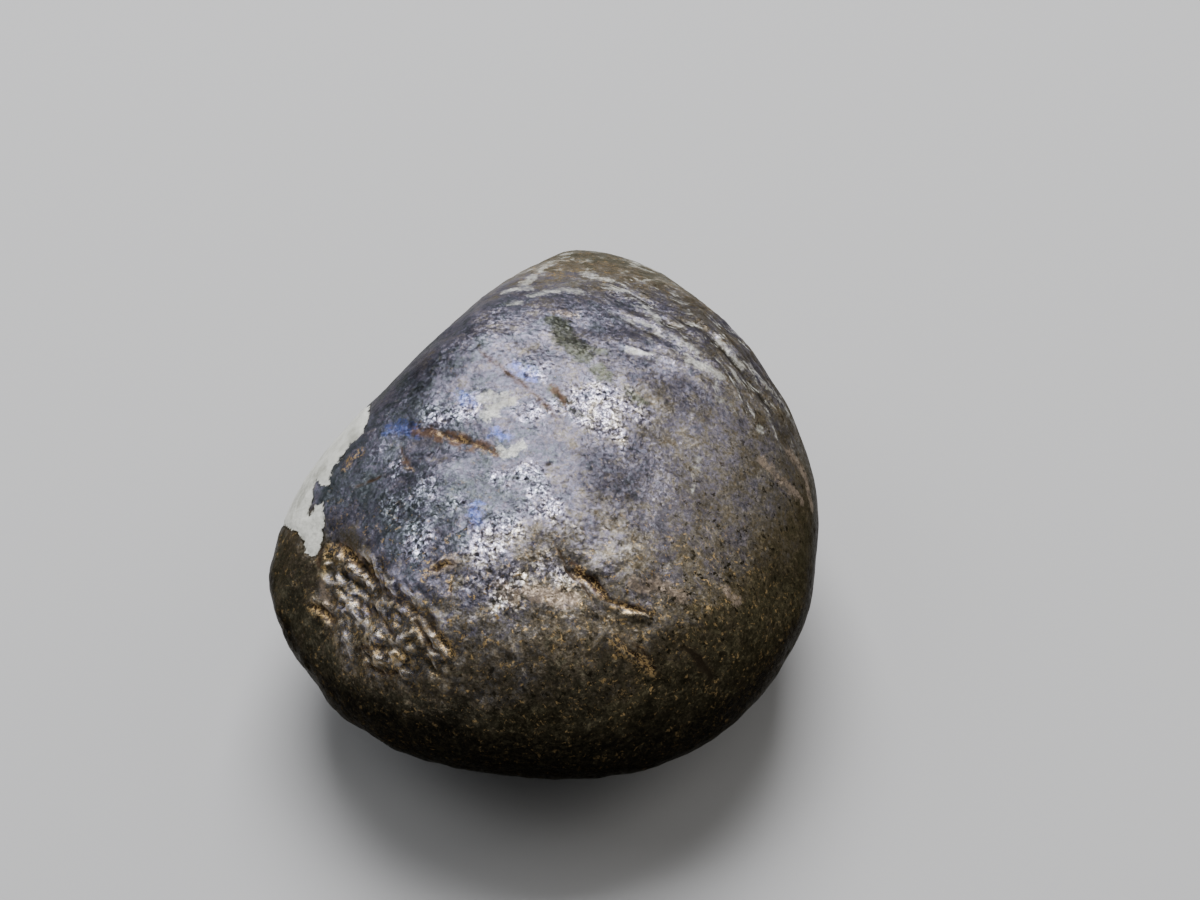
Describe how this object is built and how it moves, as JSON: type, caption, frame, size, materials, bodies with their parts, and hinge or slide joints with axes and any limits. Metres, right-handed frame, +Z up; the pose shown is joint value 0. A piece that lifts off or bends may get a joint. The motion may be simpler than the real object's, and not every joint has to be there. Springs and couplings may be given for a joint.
{
  "type": "tumbled mohawkite stone",
  "caption": "Tumbled pebble of metallic copper arsenide ore with white quartz, rounded triangle in plan, resting on a small flat.",
  "frame": {"origin": "under the middle of the stone's box, on the surface it rests on", "axes": "+X to the right as seen from the front, +Y away from the viewer along the stone's length, towards its narrow back end, +Z up through the crown"},
  "size_m": [0.024, 0.028, 0.0152],
  "materials": {
    "mohawkite": "satin metallic steel grey with blue and violet tarnish, bronze brown below, dull white quartz on the left flank"
  },
  "bodies": {
    "root": {"stone": "mohawkite"}
  },
  "joints": []
}
